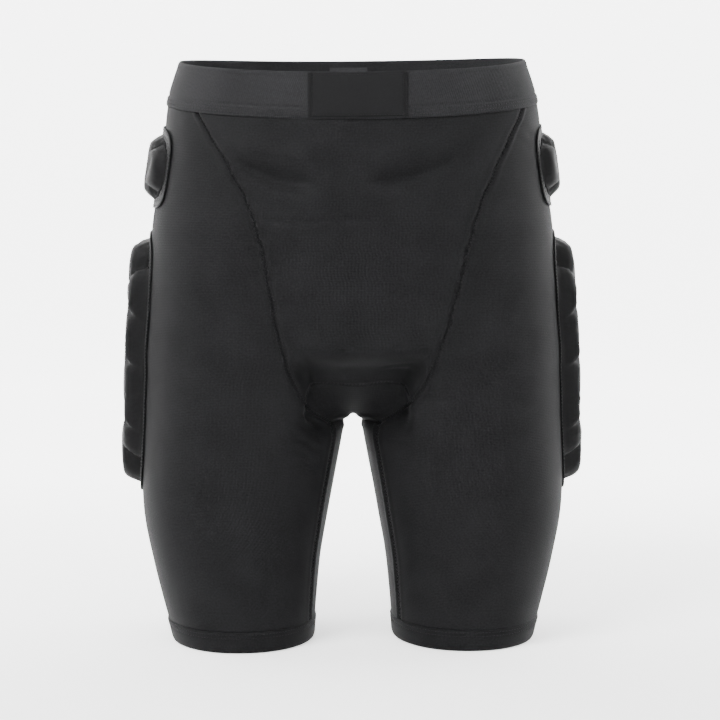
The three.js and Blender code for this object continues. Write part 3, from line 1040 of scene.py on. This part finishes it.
class Nodes:
    """Short calls for building a node material."""

    def __init__(self, name):
        self.material = bpy.data.materials.new(name)
        self.material.use_nodes = True
        self.tree = self.material.node_tree
        self.shader = self.tree.nodes["Principled BSDF"]

    def add(self, kind, **settings):
        node = self.tree.nodes.new(kind)
        for key, value in settings.items():
            setattr(node, key, value)
        return node

    def link(self, out, into):
        self.tree.links.new(out, into)

    def maths(self, operation, a, b):
        node = self.add("ShaderNodeMath", operation=operation)
        for socket, value in zip(node.inputs, (a, b)):
            if isinstance(value, (int, float)):
                socket.default_value = value
            else:
                self.link(value, socket)
        return node.outputs[0]

    def shade(self, factor, dark, light, into):
        ramp = self.add("ShaderNodeMix", data_type="RGBA")
        self.link(factor, ramp.inputs[0])
        ramp.inputs[6].default_value = (*dark, 1)
        ramp.inputs[7].default_value = (*light, 1)
        self.link(ramp.outputs[2], into)

    def spread(self, factor, low, high, into):
        self.link(self.ramp(factor, (0.0, 1.0), (low, high)), into)

    def ramp(self, value, span, result=(0.0, 1.0)):
        """Spreads the part of a value inside a span over a result range."""
        node = self.add("ShaderNodeMapRange")
        self.link(value, node.inputs[0])
        node.inputs["From Min"].default_value, node.inputs["From Max"].default_value = span
        node.inputs["To Min"].default_value, node.inputs["To Max"].default_value = result
        return node.outputs[0]

    def bump(self, height, strength, distance):
        node = self.add("ShaderNodeBump")
        node.inputs["Strength"].default_value = strength
        node.inputs["Distance"].default_value = distance
        self.link(height, node.inputs["Height"])
        self.link(node.outputs[0], self.shader.inputs["Normal"])


def cool(shade):
    return (shade, shade, shade * COOLNESS)


def cloth_material(name, dark, light, roughness, shine, wale, course, bump):
    """A knit or woven cloth: raised wales crossed by courses, with fibre noise and slow colour change."""
    nodes = Nodes(name)
    place = nodes.add("ShaderNodeUVMap", uv_map="cloth")
    apart = nodes.add("ShaderNodeSeparateXYZ")
    nodes.link(place.outputs[0], apart.inputs[0])
    fibre = noise(nodes, place.outputs[0], 620, 4)
    cloud = noise(nodes, place.outputs[0], 32, 4)
    ribs = wave01(nodes, apart.outputs[0], wale)
    rows = wave01(nodes, apart.outputs[1], course)
    fibre = nodes.ramp(fibre, (0.33, 0.67))
    cloud = nodes.ramp(cloud, (0.3, 0.7))
    weave = nodes.maths("MULTIPLY", ribs, nodes.maths("ADD", nodes.maths("MULTIPLY", rows, 0.6), 0.4))
    fleck = nodes.maths("ADD", nodes.maths("MULTIPLY", weave, 0.35), nodes.maths("MULTIPLY", fibre, 0.5))
    mixed = nodes.maths("ADD", fleck, nodes.maths("MULTIPLY", cloud, 0.2))
    nodes.shade(mixed, cool(dark), cool(light), nodes.shader.inputs["Base Color"])
    nodes.spread(fibre, roughness - 0.06, roughness + 0.06, nodes.shader.inputs["Roughness"])
    nodes.shader.inputs["Sheen Weight"].default_value = 0.02
    nodes.shader.inputs["Sheen Roughness"].default_value = 0.45
    nodes.shader.inputs["Specular IOR Level"].default_value = shine
    nodes.shader.inputs["IOR"].default_value = 1.35
    height = nodes.maths("ADD", weave, nodes.maths("MULTIPLY", fibre, 0.3))
    nodes.bump(height, bump, 0.0003)
    return nodes.material


def wave01(nodes, coordinate, pitch):
    """A wave from 0 to 1 along one coordinate, with the given pitch in metres."""
    turned = nodes.maths("MULTIPLY", coordinate, 2 * math.pi / pitch)
    wave = nodes.maths("SINE", turned, 0)
    return nodes.maths("ADD", nodes.maths("MULTIPLY", wave, 0.5), 0.5)


def noise(nodes, vector, scale, detail):
    node = nodes.add("ShaderNodeTexNoise")
    node.inputs["Scale"].default_value = scale
    node.inputs["Detail"].default_value = detail
    nodes.link(vector, node.inputs["Vector"])
    return node.outputs[0]


def foam_material():
    nodes = Nodes("closed_cell_foam")
    place = nodes.add("ShaderNodeTexCoord")
    cells = nodes.add("ShaderNodeTexVoronoi")
    cells.inputs["Scale"].default_value = 700
    nodes.link(place.outputs["Object"], cells.inputs["Vector"])
    cloud = noise(nodes, place.outputs["Object"], 60, 3)
    nodes.shade(cloud, (0.05, 0.05, 0.055), (0.09, 0.09, 0.095), nodes.shader.inputs["Base Color"])
    nodes.spread(cloud, 0.85, 0.95, nodes.shader.inputs["Roughness"])
    nodes.bump(cells.outputs["Distance"], 0.5, 0.0003)
    return nodes.material


# ---------- stage, lights and camera ----------


FLOOR_RADIUS = 2.6
WALL_BEND = 1.2
WALL_HEIGHT = 6.0
GLOW_FRONT = 0.05  # light given off by the floor and wall in front of the shorts
GLOW_UNDER = 0.3  # under them
GLOW_BACK = 2.5  # and behind them


def build_stage():
    """A round floor whose rim bends up into a wall."""
    bends = np.linspace(0, math.pi / 2, 12)
    outline = [(0.6, 0.0)]
    outline += [(FLOOR_RADIUS + WALL_BEND * math.sin(a), WALL_BEND * (1 - math.cos(a))) for a in bends]
    outline.append((FLOOR_RADIUS + WALL_BEND, WALL_HEIGHT))
    turns = np.linspace(0, 2 * math.pi, 65)[:-1]
    bottom = CAD_BOUNDS[0][2] - 0.0005
    vertices = [(r * math.cos(a), r * math.sin(a), bottom + z) for r, z in outline for a in turns]
    count = len(turns)
    faces = []
    for row in range(len(outline) - 1):
        for i in range(count):
            a = row * count + i
            b = row * count + (i + 1) % count
            faces.append((a, a + count, b + count, b))
    faces.append(tuple(range(count)))
    floor = mesh_object("floor", vertices, faces)
    floor.data.materials.append(glowing_floor_material())


def glowing_floor_material():
    nodes = Nodes("pale_glowing_floor")
    place = nodes.add("ShaderNodeTexCoord")
    cloud = noise(nodes, place.outputs["Object"], 3, 2)
    nodes.shade(cloud, (0.93, 0.93, 0.93), (0.96, 0.96, 0.96), nodes.shader.inputs["Base Color"])
    nodes.shader.inputs["Roughness"].default_value = 0.9
    # The floor and wall glow, and this glow is painted light: dim in front of the shorts, brighter under them
    # and brightest behind them, so it also lights the shorts from below and behind.
    nodes.shader.inputs["Emission Color"].default_value = (1, 1, 1, 1)
    apart = nodes.add("ShaderNodeSeparateXYZ")
    nodes.link(place.outputs["Object"], apart.inputs[0])
    near = nodes.ramp(apart.outputs[1], (-0.6, -0.3), (GLOW_FRONT, GLOW_UNDER))
    far = nodes.ramp(apart.outputs[1], (-0.3, 1.0), (0.0, GLOW_BACK - GLOW_UNDER))
    nodes.link(nodes.maths("ADD", near, far), nodes.shader.inputs["Emission Strength"])
    return nodes.material


def area_light(name, place, target, size, power):
    light = bpy.data.lights.new(name, "AREA")
    light.shape = "RECTANGLE"
    light.size, light.size_y = size
    light.energy = power
    lamp = bpy.data.objects.new(name, light)
    lamp.location = place
    lamp.rotation_euler = (Vector(target) - Vector(place)).to_track_quat("-Z", "Y").to_euler()
    bpy.context.scene.collection.objects.link(lamp)


def build_lights():
    middle = (0, 0, 0.26)
    area_light("key", (-0.95, -1.05, 1.7), middle, (0.8, 0.8), 66)
    area_light("fill", (1.3, -1.5, 1.4), middle, (1.4, 1.4), 14)
    area_light("rim_left", (-1.6, 0.7, 0.9), middle, (0.7, 1.6), 8)
    area_light("rim_right", (1.6, 0.7, 0.9), middle, (0.7, 1.6), 8)
    world = bpy.data.worlds.new("studio")
    world.use_nodes = True
    world.node_tree.nodes["Background"].inputs[0].default_value = (1, 1, 1, 1)
    world.node_tree.nodes["Background"].inputs[1].default_value = 0.2
    bpy.context.scene.world = world


CAMERA_DISTANCE = 1.4
CAMERA_HEIGHT = 0.323
CAMERA_YAW = math.radians(-2.5)
CAMERA_AIM = (0.006, 0.233)  # across and up
CAMERA_LENS = 82.4


def build_camera():
    camera = bpy.data.objects.new("camera", bpy.data.cameras.new("camera"))
    camera.data.lens = CAMERA_LENS
    camera.data.sensor_width = 36
    aim = Vector((CAMERA_AIM[0], SHIFT, CAMERA_AIM[1]))
    camera.location = (
        aim.x + CAMERA_DISTANCE * math.sin(CAMERA_YAW),
        aim.y - CAMERA_DISTANCE * math.cos(CAMERA_YAW),
        CAMERA_HEIGHT,
    )
    camera.rotation_euler = (aim - camera.location).to_track_quat("-Z", "Y").to_euler()
    bpy.context.scene.collection.objects.link(camera)
    bpy.context.scene.camera = camera


# ---------- assembly ----------


CLOTHS = {
    # name: dark shade, light shade, roughness, shine, wale and course pitch, bump
    "charcoal_knit": (0.0006, 0.0108, 0.62, 0.06, 0.0011, 0.0013, 0.35),
    "ribbed_elastic": (0.0020, 0.0190, 0.75, 0.10, 0.0016, 0.0009, 0.6),
    "smooth_stretch_cloth": (0.0008, 0.0048, 0.50, 0.10, 0.0007, 0.0007, 0.2),
    "backing_cloth": (0.0030, 0.0080, 0.85, 0.05, 0.0012, 0.0012, 0.3),
    "badge_cloth": (0.0020, 0.0070, 0.60, 0.10, 0.0006, 0.0006, 0.3),
    "label_tape": (0.0120, 0.0300, 0.55, 0.10, 0.0005, 0.0005, 0.2),
    "polyester_thread": (0.0030, 0.0100, 0.60, 0.10, 0.0004, 0.0004, 0.2),
}
COOLNESS = 1.06  # how much stronger the blue of a shade is than its red and green


def main():
    build_camera()
    build_lights()
    build_stage()
    cloths = {name: cloth_material(name, *values) for name, values in CLOTHS.items()}
    build_shell(cloths["charcoal_knit"])
    build_waistband(cloths["ribbed_elastic"])
    for word, side in (("left", 1), ("right", -1)):
        build_hem(word, side, cloths["charcoal_knit"])
    build_pads(cloths["smooth_stretch_cloth"], cloths["backing_cloth"], foam_material())
    for sew in (sew_shell, sew_hems, sew_waistband, sew_pads):
        sew(cloths["polyester_thread"])
    build_labels(cloths["badge_cloth"], cloths["label_tape"])


main()
